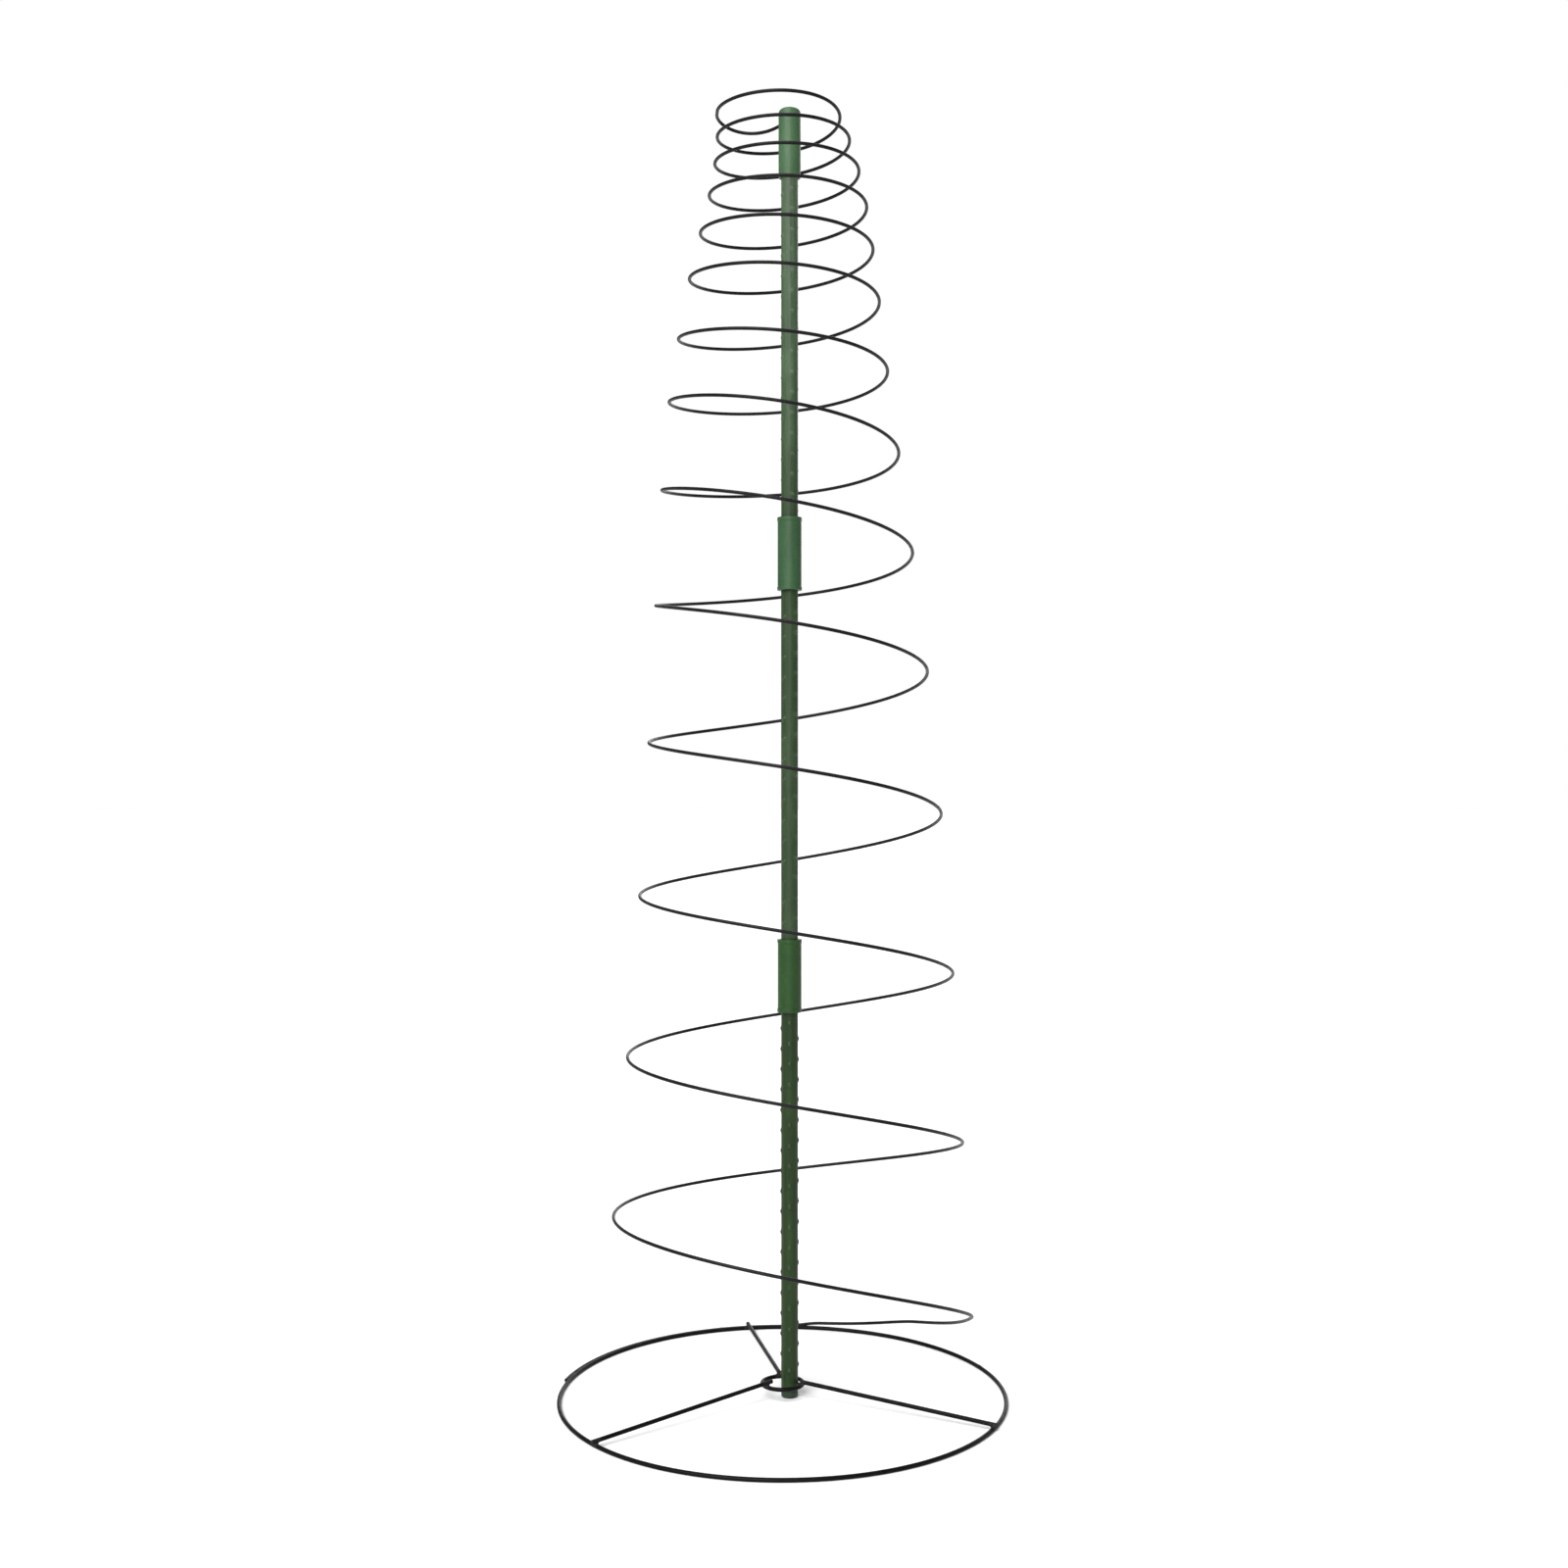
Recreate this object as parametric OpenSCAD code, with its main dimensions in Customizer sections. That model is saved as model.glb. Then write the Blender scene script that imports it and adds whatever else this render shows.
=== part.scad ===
// Spiral plant obelisk: a wire base ring with three spokes, a green stake in three
// push-fit sections that stands loosely through the hub ring, and one long wire coil
// that winds up from the base ring to a cap on the top of the stake.
// +Z is up, the origin is the middle of the base ring on the ground, and the back is +Y.

/* [Base ring] */
// Outer diameter of the base ring
ring_d = 320; // [280:1:360]
// Wire diameter of the base ring, the spokes and the hub ring
frame_wire_d = 3; // [2.5:0.1:3.4]
// Outer diameter of the hub ring
hub_d = 32; // [31:0.5:36]
// Direction of the back spoke
back_spoke_angle = 100; // [98:0.5:102]
// Direction of the left spoke
left_spoke_angle = 219; // [214:1:224]
// Direction of the right spoke
right_spoke_angle = 334; // [330:1:342]
// How far the spoke ends reach past the middle of the base ring's wire
spoke_overhang = 3; // [1:0.5:4]
// Length of the left spoke's stub inside the hub ring
spoke_stub = 5; // [1:0.5:6]
// Height by which the spokes lift the hub ring off the ground
hub_lift = 8; // [1:0.5:9]

/* [Stake] */
// Outer diameter of the plastic coated stake
stake_d = 12; // [11:0.1:12.2]
// Length of each of the three stake sections
section_len = 300; // [280:1:320]
// Sideways place of the stake inside the loose hub ring
stake_x = 5; // [0:0.5:5]
// Thickness of the plastic coat
coat_t = 0.6; // [0.4:0.1:0.8]
// Wall of the steel tube
tube_wall = 0.5; // [0.3:0.1:1]
// Height of the grip nubs
nub_h = 0.8; // [0.3:0.1:1]
// Spacing of the nubs along a row
nub_pitch = 14.5; // [8:0.5:16]
// Rows of nubs round the stake
nub_rows = 4; // [2:1:4]

/* [Sleeves and cap] */
// Outer diameter of the joining sleeves
sleeve_d = 17.6; // [16.4:0.1:18]
// Length of the joining sleeves
sleeve_len = 52; // [44:1:60]
// Thickness of the stop inside a sleeve
sleeve_stop_t = 1; // [0.8:0.1:2]
// Outer diameter of the top cap
cap_d = 15.8; // [15.4:0.1:17]
// Length of the top cap
cap_len = 49; // [44:1:60]
// Solid head of the cap above the stake
cap_head = 17; // [16:0.5:24]
// Radial running clearance of the push fits
fit_gap = 0.08; // [0.04:0.01:0.1]

/* [Coil] */
// Wire diameter of the coil
coil_wire_d = 2.4; // [2:0.1:2.6]
// Turns from the back of the base ring to the start of the hook at the cap
coil_turns = 13.75; // [11.75:1:15.75]
// Radius of the coil at its foot
coil_r_foot = 132; // [125:0.5:140]
// Radius of the coil at its top
coil_r_top = 42.5; // [36:0.5:50]
// Shape of the taper, 1 is a straight cone
coil_taper = 1.3; // [1:0.05:1.6]
// Rise of one turn at the bottom
pitch_foot = 125.5; // [115:0.5:126]
// Rise of one turn at the top
pitch_top = 9; // [7:0.5:9.5]
// Turn at which the rise has fallen halfway
pitch_fall_turn = 6.1; // [5:0.05:6.15]
// Sharpness of that fall
pitch_fall = 3.2; // [3.1:0.1:4]
// Extra lift of the first half turn off the base ring
first_lift = 6; // [3:0.5:8]
// Lift of the front of the lowest turns, as a slope
front_tip = 0.215; // [0:0.005:0.22]
// Number of turns over which that lift dies out
front_tip_turns = 2.8; // [2:0.1:3]
// Lean of the top turns to the left, as a slope
top_lean = 0.1; // [0:0.005:0.11]
// Lean of the middle turns to the right, as a slope
middle_lean = 0.06; // [0:0.005:0.07]
// Lean of the lowest turns to the right, as a slope
foot_lean = 0.06; // [0:0.005:0.07]
// Droop of the last turn where it passes behind the cap
top_droop = 4.3; // [0:0.1:4.5]
// Droop of the front of the eighth turn
middle_droop = 4.5; // [0:0.1:5]
// Sideways sway of the coil's centre line
sway = 3.2; // [0:0.1:4]
// Waves of that sway over the height
sway_waves = 1.7; // [1:0.1:2]

/* [Hidden] */
$fn = 64;

wire_black = [0.09, 0.09, 0.09];
wire_grey = [0.2, 0.19, 0.19];
steel_grey = [0.55, 0.56, 0.57];
upper_green = [0.42, 0.53, 0.4];
middle_green = [0.3, 0.38, 0.28];
lower_green = [0.23, 0.3, 0.19];
upper_sleeve_green = [0.32, 0.45, 0.33];
lower_sleeve_green = [0.24, 0.39, 0.2];
cap_green = [0.46, 0.6, 0.47];
plug_green = [0.17, 0.22, 0.15];

// Base frame: the base ring and the hub ring lie on the ground, the spokes on top of them
frame_wire_r = frame_wire_d / 2;
ring_r = ring_d / 2 - frame_wire_r;
hub_r = hub_d / 2 - frame_wire_r;
spoke_z = 1.5 * frame_wire_d;
spoke_angles = [back_spoke_angle, left_spoke_angle, right_spoke_angle];
spoke_ends = [hub_r, hub_r - spoke_stub, hub_r];
spoke_tilt = atan(hub_lift / (ring_r - hub_r));
weld_r = 0.7 * frame_wire_d;
weld_drop = frame_wire_r / 3;
weld_inset = 0.8;

// Stake: a steel tube inside a plastic coat, with a moulded plug in each end
stake_r = stake_d / 2;
tube_r = stake_r - coat_t;
bore_r = tube_r - tube_wall;
plug_head = 4;
plug_spigot = 8;
plug_round = 1.2;
nub_r = 3 * nub_h;
nub_clear = 5;
sleeve_grip = (sleeve_len - sleeve_stop_t) / 2;
lip_h = 2.5;
lip_t = 0.3;
cap_round = 3;
lead_in = 0.6;

// Levels of the three sections and their joints, from the ground up
lower_z = 0;
middle_z = lower_z + section_len + sleeve_stop_t;
upper_z = middle_z + section_len + sleeve_stop_t;
stake_top = upper_z + section_len;
cap_top = stake_top + cap_head;
lower_sleeve_z = middle_z - sleeve_stop_t - sleeve_grip;
upper_sleeve_z = upper_z - sleeve_stop_t - sleeve_grip;
cap_z = cap_top - cap_len;

// Coil: the wire starts on the ground outside the base ring, crosses over the ring at
// the back and climbs clockwise seen from above
coil_wire_r = coil_wire_d / 2;
coil_sides = 8;
turn_steps = 24;
foot_turns = 0.22;
cross_turn = 0;
over_turn = 0.03;
inside_turn = 0.25;
lift_turns = 0.6;
lift_off_turns = 0.12;
foot_gap = 0.15;
foot_r = ring_r + frame_wire_r + coil_wire_r + foot_gap;
foot_z = coil_wire_r + 0.2;
over_z = frame_wire_d + coil_wire_r + 0.2;
sway_phase = -40;
sway_start = 6.5;
sway_drift = -9;
middle_lean_turn = 6;
middle_lean_width = 1.4;
foot_lean_width = 1.5;
top_droop_back = 0.65;
top_droop_width = 0.25;
middle_droop_turn = 7.55;
middle_droop_width = 0.32;
hook_steps = 14;
hook_angle = 130;
hook_drop = 8.5;
hook_depth = 5;
hook_stand = 2;
hook_swing = 30;
hook_reach = 35;
hook_dip = 4;
hook_hole_r = coil_wire_r + 0.1;
hook_z = cap_top - hook_drop;
tack_turns = [-0.2, -0.125, -0.05];

function ease(x) = let (u = min(max(x, 0), 1)) u * u * (3 - 2 * u);
function share(t) = min(max(t / coil_turns, 0), 1);
function azimuth(t) = 90 - 360 * t;
function pitch(t) =
  pitch_top + (pitch_foot - pitch_top) / (1 + pow(t / pitch_fall_turn, pitch_fall));

// Rise of the coil at every step, as the running sum of the pitch
rise_steps = round(coil_turns * turn_steps);
rises = [
  for (i = 0, z = 0; i <= rise_steps; z = z + pitch((i + 0.5) / turn_steps) / turn_steps, i = i + 1) z
];
function rise(t) =
  let (s = max(t, 0) * turn_steps, i = min(floor(s), rise_steps - 1))
  (rises[i] + (s - i) * (rises[i + 1] - rises[i])) * ease(t / lift_off_turns);

function free_r(t) = coil_r_top + (coil_r_foot - coil_r_top) * pow(1 - share(t), coil_taper);
function coil_r(t) =
  let (inward = ease((t - cross_turn) / (inside_turn - cross_turn)))
  foot_r + (free_r(t) - foot_r) * inward;
function wire_level(t) = foot_z + (over_z - foot_z) * ease((t - cross_turn) / (over_turn - cross_turn));
function bump(x) = exp(-x * x);
function tip(t) = front_tip * exp(-max(t, 0) / front_tip_turns);
function lean(t) =
  top_lean * pow(share(t), 3)
  - middle_lean * bump((t - middle_lean_turn) / middle_lean_width)
  - foot_lean * bump(t / foot_lean_width);
function centre_x(t) =
  ease((t - cross_turn) / (inside_turn - cross_turn))
  * (sway_start + sway_drift * share(t) + sway * sin(360 * sway_waves * share(t) + sway_phase));
function coil_point(t) =
  let (r = coil_r(t), a = azimuth(t))
  [
    centre_x(t) + r * cos(a),
    r * sin(a),
    wire_level(t) + rise(t) + first_lift * ease(t / lift_turns)
      - top_droop * bump((t - coil_turns + top_droop_back) / top_droop_width)
      - middle_droop * bump((t - middle_droop_turn) / middle_droop_width)
      + r * (tip(t) * (1 - sin(a)) + lean(t) * cos(a)) * ease(t / inside_turn)
  ];

// The hook at the top: the last turn swings in behind the cap and runs straight into its side hole
hook_start = coil_point(coil_turns);
hook_before = coil_point(coil_turns - 1 / turn_steps);
hook_run = (hook_start - hook_before) / norm(hook_start - hook_before);
hook_out = [cos(hook_angle), sin(hook_angle), 0];
hook_mouth = [stake_x, 0, hook_z] + hook_out * (cap_d / 2 + hook_stand);
hook_end = hook_mouth - hook_out * (hook_stand + hook_depth);
hook_poles = [
  hook_start,
  hook_start + hook_run * hook_swing,
  hook_mouth + hook_out * hook_reach - [0, 0, hook_dip],
  hook_mouth
];
function bezier(p, u) =
  pow(1 - u, 3) * p[0] + 3 * u * pow(1 - u, 2) * p[1] + 3 * u * u * (1 - u) * p[2] + pow(u, 3) * p[3];

coil_path = concat(
  [for (t = [-foot_turns : 0.01 : cross_turn - 0.005]) coil_point(t)],
  [for (t = [cross_turn : 0.005 : over_turn + 0.005]) coil_point(t)],
  [for (i = [1 : rise_steps]) coil_point(i / turn_steps)],
  [for (i = [1 : hook_steps]) bezier(hook_poles, i / hook_steps)],
  [hook_end]
);

// A round wire swept along a path of points
function unit(v) = v / norm(v);
function heading(path, i) = unit(path[min(i + 1, len(path) - 1)] - path[max(i - 1, 0)]);
function wire_loop(path, i, r, sides) =
  let (ahead = heading(path, i), side = unit(cross(ahead, [0, 0, 1])), up = cross(side, ahead))
  [for (k = [0 : sides - 1]) path[i] + r * (cos(360 * k / sides) * side + sin(360 * k / sides) * up)];
module swept_wire(path, r, sides) {
  loops = len(path);
  points = [for (i = [0 : loops - 1]) each wire_loop(path, i, r, sides)];
  walls = [
    for (i = [0 : loops - 2], k = [0 : sides - 1])
      let (a = i * sides + k, b = i * sides + (k + 1) % sides)
      each [[a, a + sides, b + sides], [a, b + sides, b]]
  ];
  start_face = [for (k = [0 : sides - 1]) k];
  end_face = [for (k = [sides - 1 : -1 : 0]) (loops - 1) * sides + k];
  polyhedron(points = points, faces = concat(walls, [start_face, end_face]), convexity = 20);
}

module wire_ring(r, wire_r) {
  rotate_extrude($fn = 180) translate([r, 0]) circle(wire_r, $fn = 32);
}
module at_stake(z) { translate([stake_x, 0, z]) children(); }

// Base frame
module base_ring() {
  color(wire_black) translate([0, 0, frame_wire_r]) wire_ring(ring_r, frame_wire_r);
}
module hub_ring() {
  color(wire_black) translate([0, 0, frame_wire_r + hub_lift]) wire_ring(hub_r, frame_wire_r);
}
module spoke(k) {
  color(wire_grey) rotate([0, 0, spoke_angles[k]]) translate([ring_r, 0, spoke_z])
    rotate([0, spoke_tilt - 90, 0]) translate([0, 0, -spoke_overhang])
      cylinder(r = frame_wire_r, h = ring_r + spoke_overhang - spoke_ends[k]);
}
module spoke_back() { spoke(0); }
module spoke_left() { spoke(1); }
module spoke_right() { spoke(2); }
module weld_bead(r, angle, z) {
  rotate([0, 0, angle]) translate([r, 0, z - weld_drop]) sphere(weld_r, $fn = 32);
}
module frame_welds() {
  color(wire_grey) for (angle = spoke_angles) {
    weld_bead(ring_r - weld_inset, angle, frame_wire_d);
    weld_bead(hub_r, angle, frame_wire_d + hub_lift);
  }
}

// Coil
module coil() { color(wire_black) swept_wire(coil_path, coil_wire_r, coil_sides); }
module coil_tacks() {
  color(wire_grey) for (t = tack_turns)
    rotate([0, 0, azimuth(t)]) translate([ring_r + frame_wire_r, 0, frame_wire_r + coil_wire_r])
      sphere(coil_wire_r, $fn = 32);
}

// Stake sections
module section_tube(z) {
  color(steel_grey) at_stake(z + plug_head) difference() {
    cylinder(r = tube_r, h = section_len - 2 * plug_head);
    translate([0, 0, -1]) cylinder(r = bore_r, h = section_len);
  }
}
module nubs(low, high, turn) {
  for (row = [0 : nub_rows - 1], z = [low + row * nub_pitch / nub_rows : nub_pitch : high])
    rotate([0, 0, turn + 360 * row / nub_rows]) translate([stake_r + nub_h - nub_r, 0, z])
      sphere(nub_r, $fn = 24);
}
module section_coat(z, nub_low, nub_high, turn) {
  at_stake(z) difference() {
    union() {
      translate([0, 0, plug_head]) cylinder(r = stake_r, h = section_len - 2 * plug_head);
      nubs(nub_low, nub_high, turn);
    }
    cylinder(r = tube_r, h = section_len);
  }
}
module end_plug() {
  rotate_extrude() {
    square([bore_r, plug_head + plug_spigot]);
    translate([0, plug_round]) square([stake_r, plug_head - plug_round]);
    intersection() {
      translate([stake_r - plug_round, plug_round]) circle(plug_round, $fn = 32);
      square([stake_r, plug_round]);
    }
    square([stake_r - plug_round, plug_round]);
  }
}
module foot_plug(z) { color(plug_green) at_stake(z) end_plug(); }
module top_plug(z) { color(plug_green) at_stake(z + section_len) mirror([0, 0, 1]) end_plug(); }

module lower_tube() { section_tube(lower_z); }
module middle_tube() { section_tube(middle_z); }
module upper_tube() { section_tube(upper_z); }
module lower_coat() {
  color(lower_green)
    section_coat(lower_z, plug_head + nub_clear, section_len - sleeve_grip - nub_clear, 0);
}
module middle_coat() {
  color(middle_green)
    section_coat(middle_z, sleeve_grip + nub_clear, section_len - sleeve_grip - nub_clear, 45);
}
module upper_coat() {
  color(upper_green)
    section_coat(upper_z, sleeve_grip + nub_clear, section_len - cap_len + cap_head - nub_clear, 25);
}
module lower_foot_plug() { foot_plug(lower_z); }
module middle_foot_plug() { foot_plug(middle_z); }
module upper_foot_plug() { foot_plug(upper_z); }
module lower_top_plug() { top_plug(lower_z); }
module middle_top_plug() { top_plug(middle_z); }
module upper_top_plug() { top_plug(upper_z); }

// Sleeves: the lower half grips the section below, the section above slides in on top
module sleeve(z) {
  at_stake(z) difference() {
    rotate_extrude() {
      square([sleeve_d / 2 - lip_t, sleeve_len]);
      square([sleeve_d / 2, lip_h]);
      translate([0, sleeve_len - lip_h]) square([sleeve_d / 2, lip_h]);
    }
    translate([0, 0, -1]) cylinder(r = stake_r, h = sleeve_grip + 1);
    translate([0, 0, sleeve_grip + sleeve_stop_t]) cylinder(r = stake_r + fit_gap, h = sleeve_grip + 1);
    translate([0, 0, sleeve_len - lead_in])
      cylinder(r1 = stake_r + fit_gap, r2 = stake_r + fit_gap + lead_in, h = lead_in);
  }
}
module lower_sleeve() { color(lower_sleeve_green) sleeve(lower_sleeve_z); }
module upper_sleeve() { color(upper_sleeve_green) sleeve(upper_sleeve_z); }

module top_cap() {
  color(cap_green) at_stake(cap_z) difference() {
    rotate_extrude() {
      square([cap_d / 2, cap_len - cap_round]);
      square([cap_d / 2 - cap_round, cap_len]);
      translate([cap_d / 2 - cap_round, cap_len - cap_round]) intersection() {
        circle(cap_round, $fn = 48);
        square(cap_round);
      }
    }
    translate([0, 0, -1]) cylinder(r = stake_r + fit_gap, h = cap_len - cap_head + 1);
    translate([0, 0, cap_len - hook_drop]) rotate([0, 90, hook_angle])
      translate([0, 0, cap_d / 2 - hook_depth - 0.5]) cylinder(r = hook_hole_r, h = cap_d / 2);
  }
}

base_ring();
hub_ring();
spoke_back();
spoke_left();
spoke_right();
frame_welds();
coil();
coil_tacks();
top_cap();
upper_tube();
upper_coat();
upper_top_plug();
upper_foot_plug();
upper_sleeve();
middle_tube();
middle_coat();
middle_top_plug();
middle_foot_plug();
lower_sleeve();
lower_tube();
lower_coat();
lower_top_plug();
lower_foot_plug();
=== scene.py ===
"""Looks of the spiral plant obelisk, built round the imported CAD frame.

Everything is in metres in the row frame: +Z up, the back is +Y, and the origin is the middle
of the base ring on the ground. Places come from the frame's own boxes, and the coil repeats the
part's own formulas."""

import math

import bpy
import numpy as np
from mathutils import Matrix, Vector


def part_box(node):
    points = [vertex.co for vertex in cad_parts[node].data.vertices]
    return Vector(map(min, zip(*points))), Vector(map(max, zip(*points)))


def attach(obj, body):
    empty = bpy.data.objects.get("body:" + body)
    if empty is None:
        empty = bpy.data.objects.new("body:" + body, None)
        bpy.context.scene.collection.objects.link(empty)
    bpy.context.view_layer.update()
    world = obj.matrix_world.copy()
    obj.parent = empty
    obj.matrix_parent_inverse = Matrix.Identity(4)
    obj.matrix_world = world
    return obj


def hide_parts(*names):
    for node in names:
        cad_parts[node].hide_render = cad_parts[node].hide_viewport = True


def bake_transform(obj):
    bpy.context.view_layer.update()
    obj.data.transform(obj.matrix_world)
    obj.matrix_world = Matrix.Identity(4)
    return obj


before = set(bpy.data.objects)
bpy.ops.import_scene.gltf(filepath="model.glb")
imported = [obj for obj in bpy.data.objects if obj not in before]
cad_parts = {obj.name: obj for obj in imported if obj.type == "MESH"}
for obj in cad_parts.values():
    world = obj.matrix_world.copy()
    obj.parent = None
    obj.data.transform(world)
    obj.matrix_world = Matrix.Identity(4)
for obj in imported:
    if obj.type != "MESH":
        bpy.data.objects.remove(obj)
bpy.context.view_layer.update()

MM = 0.001


def middle(node):
    low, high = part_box(node)
    return (low + high) / 2


def width(node):
    low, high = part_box(node)
    return high.x - low.x


# ------------------------------------------------------------------ sizes read from the frame
STAKE_X = middle("lower_tube").x
TUBE_R = width("lower_tube") / 2
STAKE_R = width("lower_foot_plug") / 2
SLEEVE_R = width("lower_sleeve") / 2
CAP_R = width("top_cap") / 2
FRAME_WIRE_R = (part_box("base_ring")[1].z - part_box("base_ring")[0].z) / 2
RING_R = width("base_ring") / 2 - FRAME_WIRE_R
HUB_R = width("hub_ring") / 2 - FRAME_WIRE_R
HUB_Z = middle("hub_ring").z
HUB_LIFT = HUB_Z - FRAME_WIRE_R
CAP_Z, CAP_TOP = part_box("top_cap")[0].z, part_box("top_cap")[1].z

# ------------------------------------------------------------------ sizes of the design
SPOKE_ANGLES = {"back": 100, "left": 219, "right": 334}
SPOKE_OVERHANG = 3 * MM
SPOKE_STUB = {"back": 0, "left": 5 * MM, "right": 0}
NUB_H = 0.8 * MM
NUB_PITCH = 14.5 * MM
NUB_ROWS = 4
NUB_CLEAR = 5 * MM
NUB_SPREAD = 1.5 * MM
PLUG_HEAD = 4 * MM
PLUG_SPIGOT = 8 * MM
PLUG_ROUND = 1.2 * MM
TUBE_WALL = 0.5 * MM
SLEEVE_GRIP = 25.5 * MM
SLEEVE_STOP = 1 * MM
LIP_H = 2.5 * MM
LIP_T = 0.3 * MM
FIT_GAP = 0.08 * MM
SKIN_GAP = 0.02 * MM
LEAD_IN = 0.6 * MM
CAP_ROUND = 3 * MM
CAP_HEAD = 17 * MM

# The coil's own rule, as in the part's source
COIL_WIRE_R = 1.2 * MM
COIL_TURNS = 13.75
COIL_R_FOOT = 132 * MM
COIL_R_TOP = 42.5 * MM
COIL_TAPER = 1.3
PITCH_FOOT = 125.5 * MM
PITCH_TOP = 9 * MM
PITCH_FALL_TURN = 6.1
PITCH_FALL = 3.2
FIRST_LIFT = 6 * MM
FRONT_TIP = 0.215
FRONT_TIP_TURNS = 2.8
TOP_LEAN = 0.1
MIDDLE_LEAN = 0.06
FOOT_LEAN = 0.06
SWAY = 3.2 * MM
SWAY_WAVES = 1.7
SWAY_PHASE = math.radians(-40)
SWAY_START = 6.5 * MM
SWAY_DRIFT = -9 * MM
MIDDLE_LEAN_TURN = 6
MIDDLE_LEAN_WIDTH = 1.4
FOOT_LEAN_WIDTH = 1.5
TOP_DROOP = 4.3 * MM
TOP_DROOP_BACK = 0.65
TOP_DROOP_WIDTH = 0.25
MIDDLE_DROOP = 4.5 * MM
MIDDLE_DROOP_TURN = 7.55
MIDDLE_DROOP_WIDTH = 0.32
FOOT_TURNS = 0.22
CROSS_TURN = 0
OVER_TURN = 0.03
INSIDE_TURN = 0.25
LIFT_TURNS = 0.6
LIFT_OFF_TURNS = 0.12
FOOT_GAP = 0.15 * MM
FOOT_RAISE = 0.2 * MM
FOOT_R = RING_R + FRAME_WIRE_R + COIL_WIRE_R + FOOT_GAP
FOOT_Z = COIL_WIRE_R + FOOT_RAISE
OVER_Z = 2 * FRAME_WIRE_R + COIL_WIRE_R + FOOT_RAISE
TACK_TURNS = (-0.2, -0.125, -0.05)
HOOK_ANGLE = math.radians(130)
HOOK_DROP = 8.5 * MM
HOOK_DEPTH = 5 * MM
HOOK_STAND = 2 * MM
HOOK_SWING = 30 * MM
HOOK_REACH = 35 * MM
HOOK_DIP = 4 * MM
HOOK_Z = CAP_TOP - HOOK_DROP


# ------------------------------------------------------------------ mesh helpers
def flipped_outward(points, faces):
    """The same faces, turned round if the closed surface they make is inside out."""
    volume = 0.0
    for face in faces:
        a = points[face[0]]
        for i in range(1, len(face) - 1):
            volume += a @ np.cross(points[face[i]], points[face[i + 1]])
    return faces if volume > 0 else [f[::-1] for f in faces]


def volume_sign(points, quads):
    """Positive if the quads of a closed surface face outward."""
    a, b, c, d = (points[quads[:, i]] for i in range(4))
    return (a * np.cross(b, c)).sum() + (a * np.cross(c, d)).sum()


def make_object(name, points, faces, sharp=35):
    mesh = bpy.data.meshes.new(name)
    mesh.from_pydata(np.asarray(points, float).tolist(), [], faces)
    mesh.shade_smooth()
    mesh.set_sharp_from_angle(angle=math.radians(sharp))
    made = bpy.data.objects.new(name, mesh)
    bpy.context.scene.collection.objects.link(made)
    return made


def grid_faces(rows, columns, close_rows):
    """Quads of a grid of points whose columns wrap round, and whose rows do too if close_rows."""
    row = np.arange(rows if close_rows else rows - 1)[:, None]
    column = np.arange(columns)[None, :]
    after_row, after = (row + 1) % rows, (column + 1) % columns
    corners = [
        row * columns + column,
        row * columns + after,
        after_row * columns + after,
        after_row * columns + column,
    ]
    return np.stack([np.broadcast_to(c, (len(row), columns)) for c in corners], -1).reshape(-1, 4)


def ease(x):
    u = min(max(x, 0.0), 1.0)
    return u * u * (3 - 2 * u)


def sweep(name, path, radius, sides=16, closed=False, swell=None):
    """A round wire along a path, with rounded ends if it is open. swell gives the share of extra
    radius at each path point."""
    path = np.asarray(path, float)
    size = np.full(len(path), radius) * (1 if swell is None else 1 + np.asarray(swell))
    if not closed:
        first, last = path[0] - path[1], path[-1] - path[-2]
        first, last = first / np.linalg.norm(first), last / np.linalg.norm(last)
        turns = np.radians([20, 45, 68])
        edge = 0.35
        reach = edge * radius
        start = [path[0] + first * reach * math.sin(a) for a in turns[::-1]]
        end = [path[-1] + last * reach * math.sin(a) for a in turns]
        shrink = [radius * (1 - edge * (1 - math.cos(a))) for a in turns]
        path = np.vstack([start, path, end])
        size = np.concatenate([shrink[::-1], size, shrink])
    if closed:
        ahead = np.roll(path, -1, 0) - np.roll(path, 1, 0)
    else:
        ahead = np.gradient(path, axis=0)
    ahead /= np.linalg.norm(ahead, axis=1)[:, None]
    side = np.cross(ahead, (0, 0, 1))
    side /= np.linalg.norm(side, axis=1)[:, None]
    up = np.cross(side, ahead)
    around = 2 * math.pi * np.arange(sides) / sides
    ring = np.cos(around)[None, :, None] * side[:, None]
    ring = ring + np.sin(around)[None, :, None] * up[:, None]
    points = (path[:, None] + size[:, None, None] * ring).reshape(-1, 3)
    quads = grid_faces(len(path), sides, closed)
    if volume_sign(points, quads) < 0:
        quads = quads[:, ::-1]
    faces = quads.tolist()
    if not closed:
        lid = list(range(sides))
        far = [len(points) - sides + k for k in range(sides)]
        faces += [lid, far[::-1]] if quads[0][0] < quads[0][1] else [lid[::-1], far]
    return make_object(name, points, faces)


def rounded(corners, steps=5):
    """A profile with its corners turned to arcs. Each corner is (r, z, radius of its arc)."""
    out = []
    for i, (r, z, arc) in enumerate(corners):
        here = np.array((r, z), float)
        if not arc:
            out.append(here)
            continue
        before = np.array(corners[i - 1][:2]) - here
        after = np.array(corners[(i + 1) % len(corners)][:2]) - here
        before, after = before / np.linalg.norm(before), after / np.linalg.norm(after)
        half = math.acos(np.clip(before @ after, -1, 1)) / 2
        centre = here + (before + after) / np.linalg.norm(before + after) * arc / math.sin(half)
        start = here + before * arc / math.tan(half) - centre
        end = here + after * arc / math.tan(half) - centre
        turn = math.pi - 2 * half
        for k in range(steps + 1):
            u = k / steps
            arm = math.sin((1 - u) * turn) * start + math.sin(u * turn) * end
            out.append(centre + arm / math.sin(turn))
    return np.array(out)


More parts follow.
